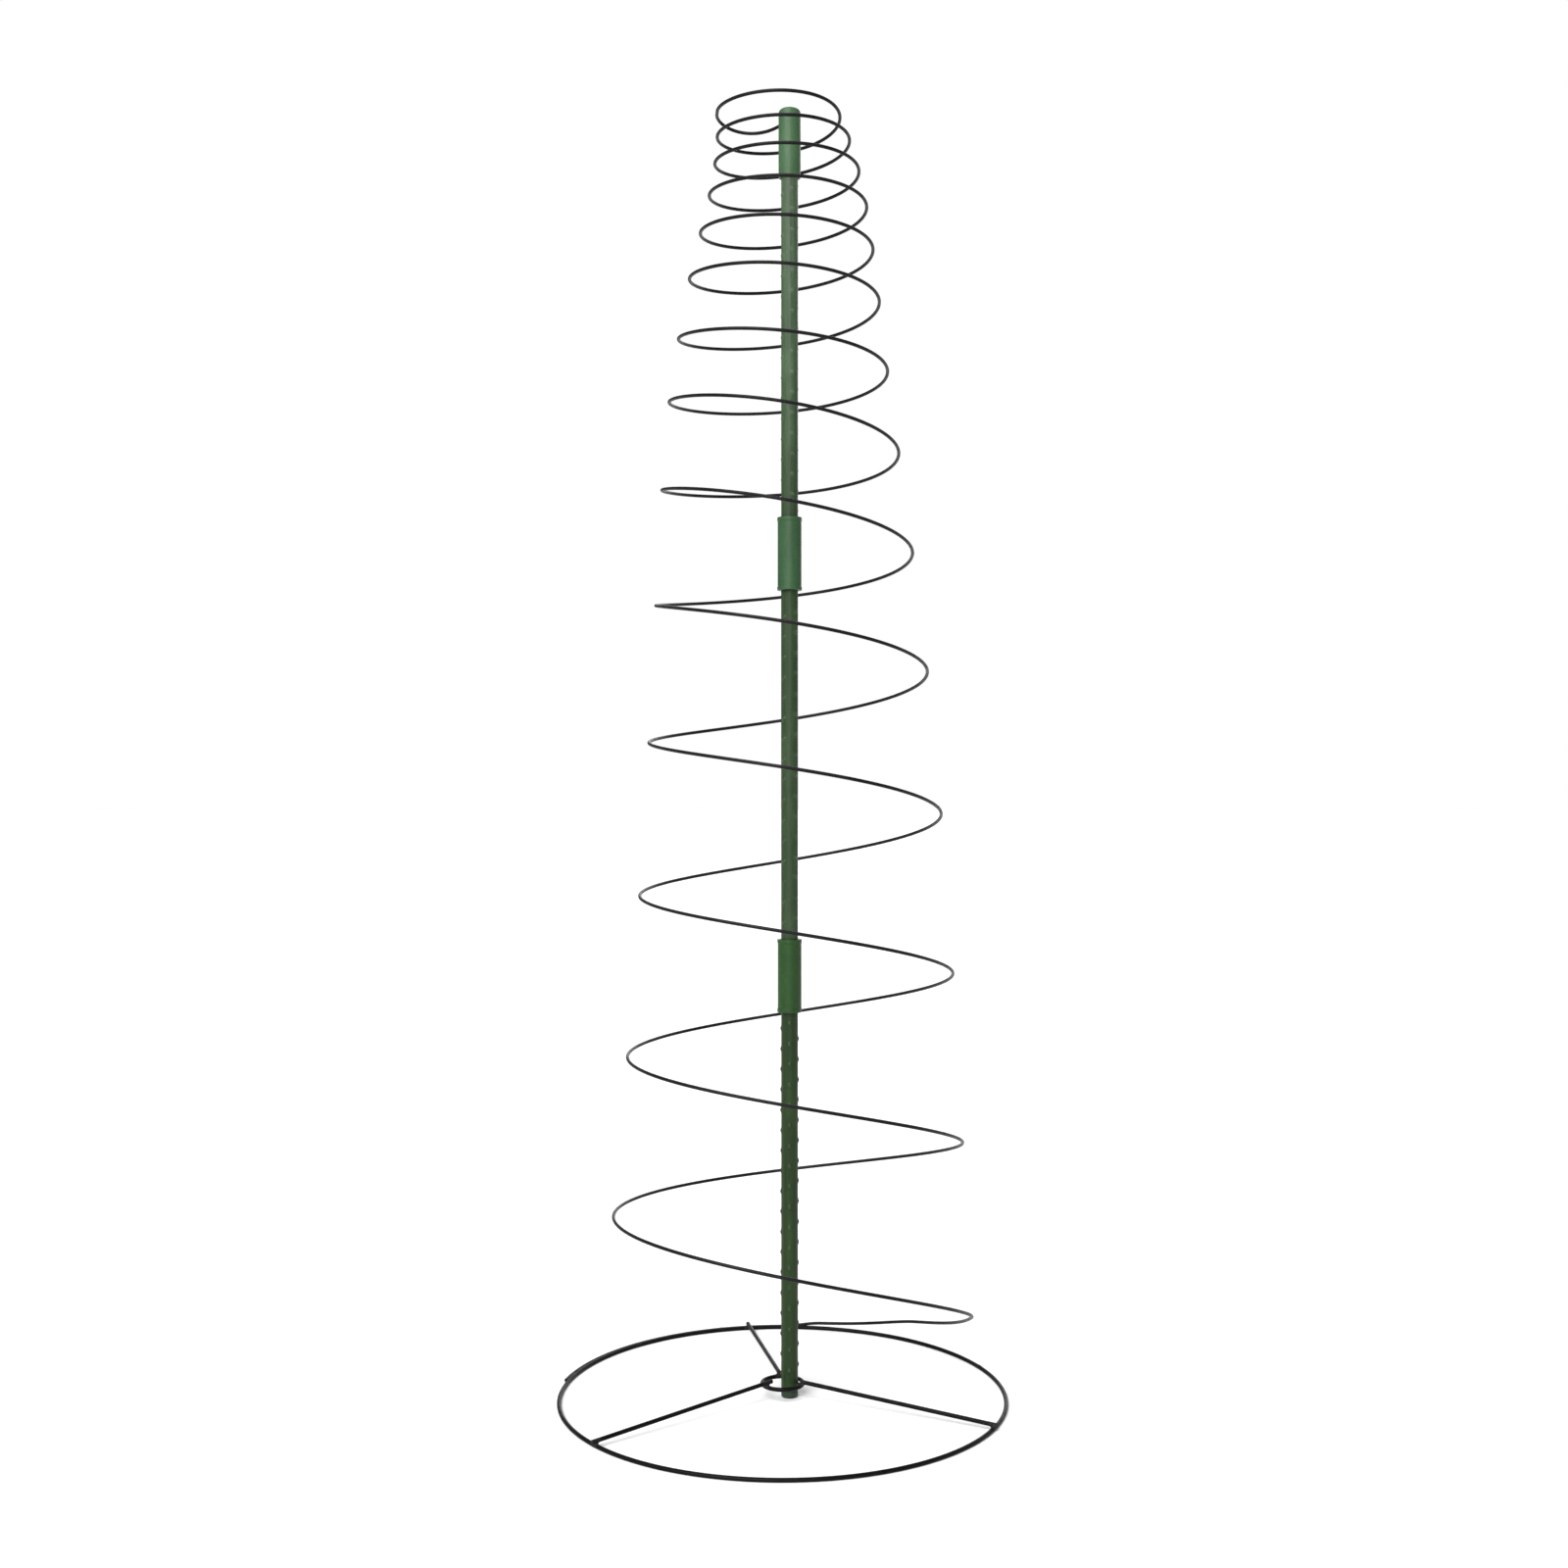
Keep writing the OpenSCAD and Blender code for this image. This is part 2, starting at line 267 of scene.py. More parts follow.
def spaced(profile, step, closed):
    """The same profile with extra points, so that no stretch of it is longer than step."""
    out = []
    count = len(profile)
    for i in range(count if closed else count - 1):
        a, b = profile[i], profile[(i + 1) % count]
        pieces = max(1, math.ceil(np.linalg.norm(b - a) / step))
        out += [a + (b - a) * k / pieces for k in range(pieces)]
    if not closed:
        out.append(profile[-1])
    return np.array(out)


def revolve(name, profile, segments, closed=True, relief=None, wall_r=None):
    """A profile of (r, z) points turned round the stake's axis. With closed, the profile is a
    loop; otherwise it starts and ends on the axis. relief(angle, z) moves the points that lie
    further out than wall_r."""
    r, z = profile[:, 0], profile[:, 1]
    poles = not closed
    body = slice(1, -1) if poles else slice(None)
    angle = 2 * math.pi * np.arange(segments) / segments
    rr = np.repeat(r[body][:, None], segments, 1)
    zz = np.repeat(z[body][:, None], segments, 1)
    tt = np.repeat(angle[None, :], len(rr), 0)
    if relief is not None:
        rr = rr + np.where(rr > wall_r, relief(tt, zz), 0)
    points = np.stack([STAKE_X + rr * np.cos(tt), rr * np.sin(tt), zz], -1).reshape(-1, 3)
    quads = grid_faces(len(rr), segments, closed)
    inside_out = volume_sign(points, quads) < 0 if closed else z[0] < z[-1]
    if closed:
        faces = (quads[:, ::-1] if inside_out else quads).tolist()
        return make_object(name, points, faces)
    last_row = (len(rr) - 1) * segments
    top, bottom = len(points), len(points) + 1
    points = np.vstack([points, [(STAKE_X, 0, z[0]), (STAKE_X, 0, z[-1])]])
    faces = quads.tolist()
    for k in range(segments):
        after = (k + 1) % segments
        faces.append([top, after, k])
        faces.append([bottom, last_row + k, last_row + after])
    return make_object(name, points, flipped_outward(points, faces))


def melted(name, sources, voxel, smoothing):
    """One lump made of the source objects, run together like weld metal. The sources are used up."""
    points, faces = [], []
    for source in sources:
        faces += [[v + len(points) for v in p.vertices] for p in source.data.polygons]
        points += [source.matrix_world @ v.co for v in source.data.vertices]
        bpy.data.objects.remove(source)
    lump = make_object(name + "_raw", [tuple(p) for p in points], faces)
    remesh = lump.modifiers.new("remesh", "REMESH")
    remesh.mode = "VOXEL"
    remesh.voxel_size = voxel
    smooth = lump.modifiers.new("smooth", "SMOOTH")
    smooth.factor = 0.5
    smooth.iterations = smoothing
    bpy.context.view_layer.update()
    settled = lump.evaluated_get(bpy.context.evaluated_depsgraph_get())
    mesh = bpy.data.meshes.new_from_object(settled)
    mesh.name = name
    mesh.shade_smooth()
    bpy.data.objects.remove(lump)
    made = bpy.data.objects.new(name, mesh)
    bpy.context.scene.collection.objects.link(made)
    return made


def joined(name, lumps):
    """One object of several, with their meshes side by side."""
    points, faces = [], []
    for lump in lumps:
        faces += [[v + len(points) for v in p.vertices] for p in lump.data.polygons]
        points += [tuple(v.co) for v in lump.data.vertices]
        bpy.data.objects.remove(lump)
    return make_object(name, points, faces, sharp=80)


def bead(centre, size, direction):
    """A small lump of weld metal, stretched by size along direction, across it and upwards."""
    rows, columns = 12, 18
    tilt = np.pi * np.arange(1, rows) / rows
    turn = 2 * np.pi * np.arange(columns) / columns
    tt, aa = np.meshgrid(tilt, turn, indexing="ij")
    along = np.array((math.cos(direction), math.sin(direction), 0))
    across = np.array((-along[1], along[0], 0))
    offset = (
        (size[0] * np.sin(tt) * np.cos(aa))[..., None] * along
        + (size[1] * np.sin(tt) * np.sin(aa))[..., None] * across
        + (size[2] * np.cos(tt))[..., None] * np.array((0, 0, 1))
    )
    points = (np.array(centre) + offset).reshape(-1, 3)
    ends = [np.array(centre) + (0, 0, size[2]), np.array(centre) - (0, 0, size[2])]
    faces = grid_faces(rows - 1, columns, False).tolist()
    top, bottom, last = len(points), len(points) + 1, (rows - 2) * columns
    for k in range(columns):
        after = (k + 1) % columns
        faces.append([top, after, k])
        faces.append([bottom, last + k, last + after])
    points = np.vstack([points, ends])
    return make_object("bead", points, flipped_outward(points, faces))


# ------------------------------------------------------------------ materials
class Paint:
    """A Principled material and short ways to add procedural detail to it."""

    def __init__(self, name, **sockets):
        self.material = bpy.data.materials.new(name)
        self.material.use_nodes = True
        self.tree = self.material.node_tree
        self.shader = self.tree.nodes["Principled BSDF"]
        for socket, value in sockets.items():
            self.shader.inputs[socket.replace("_", " ")].default_value = value
        self.place = self.node("TexCoord").outputs["Object"]
        self.normal = None

    def node(self, kind, inputs=None, **settings):
        made = self.tree.nodes.new("ShaderNode" + kind)
        for key, value in settings.items():
            setattr(made, key, value)
        for socket, value in (inputs or {}).items():
            if isinstance(value, bpy.types.NodeSocket):
                self.tree.links.new(value, made.inputs[socket])
            else:
                made.inputs[socket].default_value = value
        return made

    def noise(self, size, stretch=(1, 1, 1), detail=4, shift=0.0):
        """Noise whose spots are about size metres across, drawn out along each axis by stretch."""
        scale = [1 / (size * s) for s in stretch]
        inputs = {"Vector": self.place, "Scale": scale, "Location": (shift,) * 3}
        at = self.node("Mapping", inputs).outputs[0]
        spots = self.node("TexNoise", {"Vector": at, "Scale": 1.0, "Detail": detail})
        return spots.outputs["Fac"]

    def spread(self, value, low, high, to_low, to_high):
        """The value's range from low to high, mapped to to_low up to to_high and cut off there."""
        inputs = {"Value": value, "From Min": low, "From Max": high}
        inputs |= {"To Min": to_low, "To Max": to_high}
        return self.node("MapRange", inputs).outputs["Result"]

    def times(self, first, second):
        return self.node("Math", {0: first, 1: second}, operation="MULTIPLY").outputs[0]

    def mix(self, share, first, second):
        inputs = {0: share, 6: first, 7: second}
        return self.node("Mix", inputs, data_type="RGBA").outputs[2]

    def from_stake(self):
        """Distance from the stake's axis."""
        away = self.node("VectorMath", {0: self.place, 1: (STAKE_X, 0, 0)}, operation="SUBTRACT")
        flat = self.node("VectorMath", {0: away.outputs[0], 1: (1, 1, 0)}, operation="MULTIPLY")
        return self.node("VectorMath", {0: flat.outputs[0]}, operation="LENGTH").outputs["Value"]

    def height(self):
        return self.node("SeparateXYZ", {0: self.place}).outputs["Z"]

    def bump(self, value, depth):
        inputs = {"Height": value, "Distance": depth, "Strength": 1.0}
        if self.normal is not None:
            inputs["Normal"] = self.normal
        self.normal = self.node("Bump", inputs).outputs["Normal"]

    def finish(self, colour=None, roughness=None):
        sockets = {"Base Color": colour, "Roughness": roughness, "Normal": self.normal}
        for socket, value in sockets.items():
            if value is not None:
                self.tree.links.new(value, self.shader.inputs[socket])
        return self.material


def shade(colour, factor):
    return (colour[0] * factor, colour[1] * factor, colour[2] * factor, 1)


def bleached(colour, share):
    """The colour faded towards a pale grey green."""
    pale = (0.2, 0.25, 0.19)
    return tuple(c + (p - c) * share for c, p in zip(colour, pale)) + (1,)


def moulded_plastic(name, colour, wall_r):
    """Injection moulded plastic: soft clouds, fine grain, scuffs that are paler on the proud rims."""
    paint = Paint(name, IOR=1.48, Specular_IOR_Level=0.3)
    clouds = paint.spread(paint.noise(14 * MM, stretch=(1, 1, 2), detail=3), 0.35, 0.65, 0, 1)
    tone = paint.mix(clouds, shade(colour, 0.86), shade(colour, 1.12))
    flow = paint.noise(1.1 * MM, stretch=(1, 1, 26), detail=3, shift=3.1)
    tone = paint.mix(paint.spread(flow, 0.55, 0.78, 0, 0.22), tone, shade(colour, 1.3))
    scratches = paint.noise(0.35 * MM, stretch=(1, 9, 14), detail=2, shift=7.7)
    step = 0.1 * MM
    rims = paint.spread(paint.from_stake(), wall_r - step, wall_r + step, 0.07, 0.4)
    scuffed = paint.times(paint.spread(scratches, 0.6, 0.72, 0, 1), rims)
    tone = paint.mix(scuffed, tone, bleached(colour, 0.35))
    rough = paint.spread(paint.noise(2.5 * MM, detail=4, shift=1.3), 0.3, 0.7, 0.36, 0.52)
    paint.bump(paint.noise(0.45 * MM, detail=3), 0.025 * MM)
    paint.bump(flow, 0.03 * MM)
    return paint.finish(tone, rough)


def coat_plastic(name, low_colour, high_colour, low_z, high_z):
    """Plastic film drawn over the tube: streaks along the stake, worn nub tops, and a slow change
    of colour with height."""
    paint = Paint(name, IOR=1.48, Specular_IOR_Level=0.2)
    share = paint.spread(paint.height(), low_z, high_z, 0, 1)
    base = paint.mix(share, shade(low_colour, 1), shade(high_colour, 1))
    streaks = paint.noise(1.3 * MM, stretch=(1, 1, 45), detail=4)
    dark = paint.mix(0.26, base, (0, 0, 0, 1))
    tone = paint.mix(paint.spread(streaks, 0.35, 0.62, 0, 1), dark, base)
    patches = paint.noise(8 * MM, stretch=(1, 1, 4), detail=4, shift=5.2)
    paler = paint.mix(share, shade(low_colour, 1.4), shade(high_colour, 1.3))
    tone = paint.mix(paint.spread(patches, 0.52, 0.7, 0, 0.8), tone, paler)
    proud = (STAKE_R + 0.25 * MM, STAKE_R + 0.7 * MM)
    tops = paint.spread(paint.from_stake(), *proud, 0, 0.3)
    worn = paint.times(tops, paint.spread(paint.noise(1.5 * MM, shift=2.4), 0.35, 0.6, 0.2, 1))
    tone = paint.mix(worn, tone, bleached(high_colour, 0.2))
    rough = paint.spread(paint.noise(3 * MM, stretch=(1, 1, 6), shift=9.1), 0.3, 0.7, 0.34, 0.55)
    paint.bump(streaks, 0.05 * MM)
    paint.bump(paint.noise(0.5 * MM, detail=3, shift=4.4), 0.03 * MM)
    return paint.finish(tone, rough)


def coated_wire(name, colour, gloss, rub):
    """Steel wire under thin black powder paint: fine orange peel, dull patches, rubbed spots."""
    paint = Paint(name, IOR=1.5, Specular_IOR_Level=gloss)
    patches = paint.spread(paint.noise(11 * MM, detail=4), 0.38, 0.62, 0, 1)
    tone = paint.mix(patches, shade(colour, 0.7), shade(colour, 1.3))
    spots = paint.noise(1.4 * MM, detail=5, shift=6.6)
    tone = paint.mix(paint.spread(spots, 0.68, 0.78, 0, rub), tone, (0.06, 0.058, 0.055, 1))
    rough = paint.spread(paint.noise(4 * MM, detail=4, shift=2.2), 0.3, 0.7, 0.3, 0.5)
    paint.bump(paint.noise(0.6 * MM, detail=3, shift=1.1), 0.035 * MM)
    return paint.finish(tone, rough)


def weld_metal(name, colour):
    """Weld metal under the same paint: coarser, duller, with a little rust brown in the hollows."""
    paint = Paint(name, IOR=1.5, Specular_IOR_Level=0.12)
    grain = paint.noise(0.7 * MM, detail=5)
    tone = paint.mix(paint.spread(grain, 0.4, 0.6, 0, 1), shade(colour, 0.6), shade(colour, 1.5))
    stain = paint.noise(1.8 * MM, detail=3, shift=3.3)
    tone = paint.mix(paint.spread(stain, 0.58, 0.7, 0, 0.35), tone, (0.075, 0.045, 0.028, 1))
    rough = paint.spread(grain, 0.35, 0.65, 0.45, 0.7)
    paint.bump(grain, 0.12 * MM)
    return paint.finish(tone, rough)


def tube_steel(name):
    """Bright drawn steel tube, with fine lines along it and faint oil stains."""
    paint = Paint(name, Metallic=1.0)
    lines = paint.noise(0.3 * MM, stretch=(1, 1, 120), detail=2)
    dull, bright = (0.4, 0.4, 0.41, 1), (0.58, 0.58, 0.57, 1)
    tone = paint.mix(paint.spread(lines, 0.35, 0.65, 0, 1), dull, bright)
    stains = paint.noise(9 * MM, stretch=(1, 1, 3), shift=4.0)
    tone = paint.mix(paint.spread(stains, 0.55, 0.7, 0, 0.5), tone, (0.25, 0.22, 0.19, 1))
    paint.bump(lines, 0.02 * MM)
    return paint.finish(tone, paint.spread(stains, 0.3, 0.7, 0.28, 0.5))


def floor_paint():
    paint = Paint("pale_floor", Roughness=1.0, Specular_IOR_Level=0.0)
    dust = paint.spread(paint.noise(0.4, detail=3), 0.3, 0.7, 0, 1)
    return paint.finish(paint.mix(dust, (0.86, 0.86, 0.86, 1), (0.88, 0.88, 0.88, 1)))


# ------------------------------------------------------------------ putting a piece on the frame
def dress(piece, body, nodes, material):
    piece.data.materials.clear()
    piece.data.materials.append(material)
    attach(piece, body)
    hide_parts(*nodes)


# ------------------------------------------------------------------ base frame
def ring_arc(radius, z, low, high, count):
    """Points on a level circle, from angle low to angle high in degrees."""
    angles = np.radians(np.linspace(low, high, count))
    return np.stack([radius * np.cos(angles), radius * np.sin(angles), np.full(count, z)], 1)


def wire_hoop(name, radius, z, count, seam_angle, seam_len):
    """A closed wire ring with a low swelling where its two ends are butt welded."""
    degrees = np.arange(count) * 360 / count
    away = (degrees - seam_angle + 180) % 360 - 180
    along = np.radians(away) * radius / seam_len
    swell = 0.1 * np.exp(-along**2) - 0.05 * np.exp(-((along * 5) ** 2))
    angles = np.radians(degrees)
    level = z + FRAME_WIRE_R * np.maximum(swell, 0)
    path = np.stack([radius * np.cos(angles), radius * np.sin(angles), level], 1)
    return sweep(name, path, FRAME_WIRE_R, 20, closed=True, swell=swell)


def spoke_line(which):
    """The two ends of a spoke's centre line, from outside the base ring to the hub ring."""
    turn = math.radians(SPOKE_ANGLES[which])
    outward = np.array((math.cos(turn), math.sin(turn), 0))
    at_ring = outward * RING_R + np.array((0, 0, 3 * FRAME_WIRE_R))
    at_hub = outward * HUB_R + np.array((0, 0, 3 * FRAME_WIRE_R + HUB_LIFT))
    inward = (at_hub - at_ring) / np.linalg.norm(at_hub - at_ring)
    span = RING_R - HUB_R
    length = np.linalg.norm(at_hub - at_ring) * (span + SPOKE_STUB[which]) / span
    return at_ring - inward * SPOKE_OVERHANG, at_ring + inward * length


def base_frame(wire, weld):
    """The two rings, the three spokes and their six welds."""
    hoop = wire_hoop("base_ring_wire", RING_R, FRAME_WIRE_R, 480, seam_angle=22, seam_len=1.6 * MM)
    dress(hoop, "base", ["base_ring"], wire)
    hub = wire_hoop("hub_ring_wire", HUB_R, HUB_Z, 144, seam_angle=60, seam_len=1.3 * MM)
    dress(hub, "base", ["hub_ring"], wire)
    lumps = []
    for which in SPOKE_ANGLES:
        outer, inner = spoke_line(which)
        inset = 0.35 * FRAME_WIRE_R * (inner - outer) / np.linalg.norm(inner - outer)
        path = np.linspace(outer + inset, inner - inset, 60)
        rod = sweep("spoke_" + which + "_rod", path, FRAME_WIRE_R, 20)
        dress(rod, "base", ["spoke_" + which], wire)
        lumps.append(cross_weld(which, RING_R, FRAME_WIRE_R, 0))
        lumps.append(cross_weld(which, HUB_R, HUB_Z, HUB_LIFT))
    dress(joined("frame_weld_beads", lumps), "base", ["frame_welds"], weld)


def cross_weld(which, radius, ring_z, lift):
    """Weld metal where a spoke lies across a ring, run into the corners between the wires."""
    reach = 3.2 * MM
    raised = 0.1 * MM
    margin = 0.5 * MM
    angle = SPOKE_ANGLES[which]
    half = math.degrees(reach / radius)
    stub_r = FRAME_WIRE_R + 0.06 * MM
    over_ring = ring_arc(radius, ring_z + raised, angle - half, angle + half, 12)
    ring_stub = sweep("stub", over_ring, stub_r, 16)
    outer, inner = spoke_line(which)
    turn = math.radians(angle)
    centre = np.array((radius * math.cos(turn), radius * math.sin(turn), 3 * FRAME_WIRE_R + lift))
    inward = (inner - outer) / np.linalg.norm(inner - outer)
    from_outer = (centre - outer) @ inward
    low = max(from_outer - reach, margin)
    high = min(from_outer + reach, np.linalg.norm(inner - outer) - margin)
    over_spoke = np.linspace(outer + inward * low, outer + inward * high, 8)
    spoke_stub = sweep("stub", over_spoke, stub_r, 16)
    between = centre - np.array((0, 0, FRAME_WIRE_R))
    metal = bead(between, (2.15 * MM, 2.15 * MM, 1.0 * MM), turn + math.radians(45))
    return melted("weld", [ring_stub, spoke_stub, metal], 0.2 * MM, 9)


# ------------------------------------------------------------------ coil
def bump(x):
    return math.exp(-x * x)


def pitch(t):
    return PITCH_TOP + (PITCH_FOOT - PITCH_TOP) / (1 + (t / PITCH_FALL_TURN) ** PITCH_FALL)


# The height that the coil has gained after each step of a turn, from its pitch
RISE_STEPS = 48
GAINS = [pitch((i + 0.5) / RISE_STEPS) / RISE_STEPS for i in range(math.ceil(COIL_TURNS * RISE_STEPS))]
RISES = np.concatenate([[0], np.cumsum(GAINS)])


def coil_point(t):
    """The wire's centre after t turns. Below 0 it lies along the outside of the base ring."""
    share = min(max(t / COIL_TURNS, 0), 1)
    inward = ease((t - CROSS_TURN) / (INSIDE_TURN - CROSS_TURN))
    free_r = COIL_R_TOP + (COIL_R_FOOT - COIL_R_TOP) * (1 - share) ** COIL_TAPER
    r = FOOT_R + (free_r - FOOT_R) * inward
    angle = math.radians(90 - 360 * t)
    sway = SWAY * math.sin(2 * math.pi * SWAY_WAVES * share + SWAY_PHASE)
    centre_x = inward * (SWAY_START + SWAY_DRIFT * share + sway)
    level = FOOT_Z + (OVER_Z - FOOT_Z) * ease((t - CROSS_TURN) / (OVER_TURN - CROSS_TURN))
    rise = np.interp(max(t, 0) * RISE_STEPS, np.arange(len(RISES)), RISES)
    rise *= ease(t / LIFT_OFF_TURNS)
    tip = FRONT_TIP * math.exp(-max(t, 0) / FRONT_TIP_TURNS)
    lean = (
        TOP_LEAN * share**3
        - MIDDLE_LEAN * bump((t - MIDDLE_LEAN_TURN) / MIDDLE_LEAN_WIDTH)
        - FOOT_LEAN * bump(t / FOOT_LEAN_WIDTH)
    )
    tilt = r * (tip * (1 - math.sin(angle)) + lean * math.cos(angle)) * ease(t / INSIDE_TURN)
    droop = TOP_DROOP * bump((t - COIL_TURNS + TOP_DROOP_BACK) / TOP_DROOP_WIDTH)
    droop += MIDDLE_DROOP * bump((t - MIDDLE_DROOP_TURN) / MIDDLE_DROOP_WIDTH)
    z = level + rise + FIRST_LIFT * ease(t / LIFT_TURNS) + tilt - droop
    return np.array((centre_x + r * math.cos(angle), r * math.sin(angle), z))


def hook_points():
    """The last stretch: the wire swings in behind the cap and runs straight into its side hole."""
    start = coil_point(COIL_TURNS)
    run = start - coil_point(COIL_TURNS - 1 / 24)
    run /= np.linalg.norm(run)
    out = np.array((math.cos(HOOK_ANGLE), math.sin(HOOK_ANGLE), 0))
    mouth = np.array((STAKE_X, 0, HOOK_Z)) + out * (CAP_R + HOOK_STAND)
    dipped = mouth + out * HOOK_REACH - np.array((0, 0, HOOK_DIP))
    poles = [start, start + run * HOOK_SWING, dipped, mouth]
    points = []
    for u in np.linspace(0, 1, 33)[1:]:
        shares = ((1 - u) ** 3, 3 * u * (1 - u) ** 2, 3 * u * u * (1 - u), u**3)
        points.append(sum(s * p for s, p in zip(shares, poles)))
    straight = HOOK_STAND + HOOK_DEPTH
    return points + [mouth - out * straight * k / 4 for k in range(1, 5)]


def coil_path(step):
    """Points about step apart along the whole wire, closer where it climbs over the base ring."""
    margin = 0.01
    t, points = -FOOT_TURNS, []
    while t < COIL_TURNS:
        here = coil_point(t)
        points.append(here)
        crossing = 0.25 if CROSS_TURN - margin < t < OVER_TURN + margin else 1.0
        t += step * crossing / (2 * math.pi * math.hypot(here[0], here[1]))
    return points + [coil_point(COIL_TURNS)] + hook_points()


def coil(wire, weld):
    """The long wire, which stretches between base and cap, and the tacks that hold its foot."""
    spiral = sweep("coil_wire_spiral", coil_path(3 * MM), COIL_WIRE_R, 16)
    spiral.data.materials.append(wire)
    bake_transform(spiral)
    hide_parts("coil")
    lumps = [tack_weld(90 - 360 * t) for t in TACK_TURNS]
    dress(joined("coil_tack_beads", lumps), "base", ["coil_tacks"], weld)


def tack_weld(degrees):
    """Weld metal between the base ring and the coil's foot beside it."""
    reach = math.degrees(2.6 * MM / RING_R)
    raised = 0.05 * MM
    low, high = degrees - reach, degrees + reach
    stubs = [
        sweep("stub", ring_arc(RING_R, FRAME_WIRE_R + raised, low, high, 10), FRAME_WIRE_R, 16),
        sweep("stub", ring_arc(FOOT_R, FOOT_Z, low, high, 10), COIL_WIRE_R, 16),
    ]
    turn = math.radians(degrees)
    touch_r, touch_z = RING_R + FRAME_WIRE_R, 2.35 * MM
    at = (touch_r * math.cos(turn), touch_r * math.sin(turn), touch_z)
    metal = bead(at, (1.15 * MM, 2.0 * MM, 0.85 * MM), turn)
    return melted("tack", stubs + [metal], 0.18 * MM, 7)


# ------------------------------------------------------------------ stake
def nub_relief(low, high, turn, seed):
    """Rows of grip nubs, no two quite alike, and the faint line where the film's edges meet."""
    rng = np.random.default_rng(seed)
    count = int((high - low) / NUB_PITCH) + 1
    heights = rng.uniform(0.82, 1.0, (NUB_ROWS, count)) * NUB_H
    shifts = rng.uniform(-0.25, 0.25, (NUB_ROWS, count)) * MM

    def relief(angle, z):
        total = np.zeros_like(z)
        for row in range(NUB_ROWS):
            first = low + row * NUB_PITCH / NUB_ROWS
            last = int((high - first) / NUB_PITCH + 1e-6)
            index = np.clip(np.rint((z - first) / NUB_PITCH).astype(int), 0, last)
            along = z - (first + index * NUB_PITCH) - shifts[row, index]
            away = angle - math.radians(turn) - 2 * math.pi * row / NUB_ROWS
            across = STAKE_R * ((away + math.pi) % (2 * math.pi) - math.pi)
            distance = np.hypot(along, across)
            total += heights[row, index] * np.exp(-((distance / NUB_SPREAD) ** 2.4))
        seam = (angle - math.radians(turn + 135) + math.pi) % (2 * math.pi) - math.pi
        return total + 0.07 * MM * np.exp(-((STAKE_R * seam / (0.3 * MM)) ** 2))

    return relief


def coat(section, nub_low, nub_high, turn, seed, material):
    """The plastic film of one section, a thin closed tube between its two end plugs."""
    low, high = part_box(section + "_coat")[0].z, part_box(section + "_coat")[1].z
    inner = TUBE_R + SKIN_GAP
    corners = [
        (inner, low, 0),
        (STAKE_R, low, 0.15 * MM),
        (STAKE_R, high, 0.15 * MM),
        (inner, high, 0),
    ]
    outer = spaced(rounded(corners, 3)[:-1], 0.55 * MM, False)
    profile = np.vstack([outer, [(inner, high)]])
    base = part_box(section + "_foot_plug")[0].z
    relief = nub_relief(base + nub_low, base + nub_high, turn, seed)
    skin = revolve(section + "_coat_skin", profile, 96, True, relief, STAKE_R - 0.03 * MM)
    dress(skin, section + "_stake", [section + "_coat"], material)


def end_plug(section, which, material):
    """A moulded plug: a rounded head as wide as the stake, with a gate mark in its face, and a
    spigot inside the tube."""
    node = section + "_" + which + "_plug"
    low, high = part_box(node)
    face, up = (low.z, 1) if which == "foot" else (high.z, -1)
    spigot_r = TUBE_R - TUBE_WALL
    corners = [
        (0, 0.35 * MM, 0),
        (1.1 * MM, 0.35 * MM, 0.2 * MM),
        (1.4 * MM, 0, 0.15 * MM),
        (STAKE_R, 0, PLUG_ROUND),
        (STAKE_R, PLUG_HEAD, 0.15 * MM),
        (spigot_r, PLUG_HEAD, 0),
        (spigot_r, PLUG_HEAD + PLUG_SPIGOT, 0.6 * MM),
        (0, PLUG_HEAD + PLUG_SPIGOT, 0),
    ]
    profile = rounded(corners, 6)
    profile[:, 1] = face + up * profile[:, 1]
    plug = revolve(node + "_moulding", spaced(profile, 0.6 * MM, False), 96, closed=False)
    dress(plug, section + "_stake", [node], material)


def mould_marks(line_angle, gate_z):
    """The parting line of the two mould halves, and a small round gate mark at the back."""

    def relief(angle, z):
        line = np.sin(angle - math.radians(line_angle))
        ridge = 0.07 * MM * np.exp(-((line * SLEEVE_R / (0.22 * MM)) ** 2))
        back = (angle - math.radians(78) + math.pi) % (2 * math.pi) - math.pi
        distance = np.hypot(back * SLEEVE_R, z - gate_z) / MM
        recess = -0.16 * MM * np.exp(-((distance / 1.2) ** 6))
        gate = 0.1 * MM * np.exp(-((distance / 0.35) ** 2))
        return ridge + (recess + gate)

    return relief


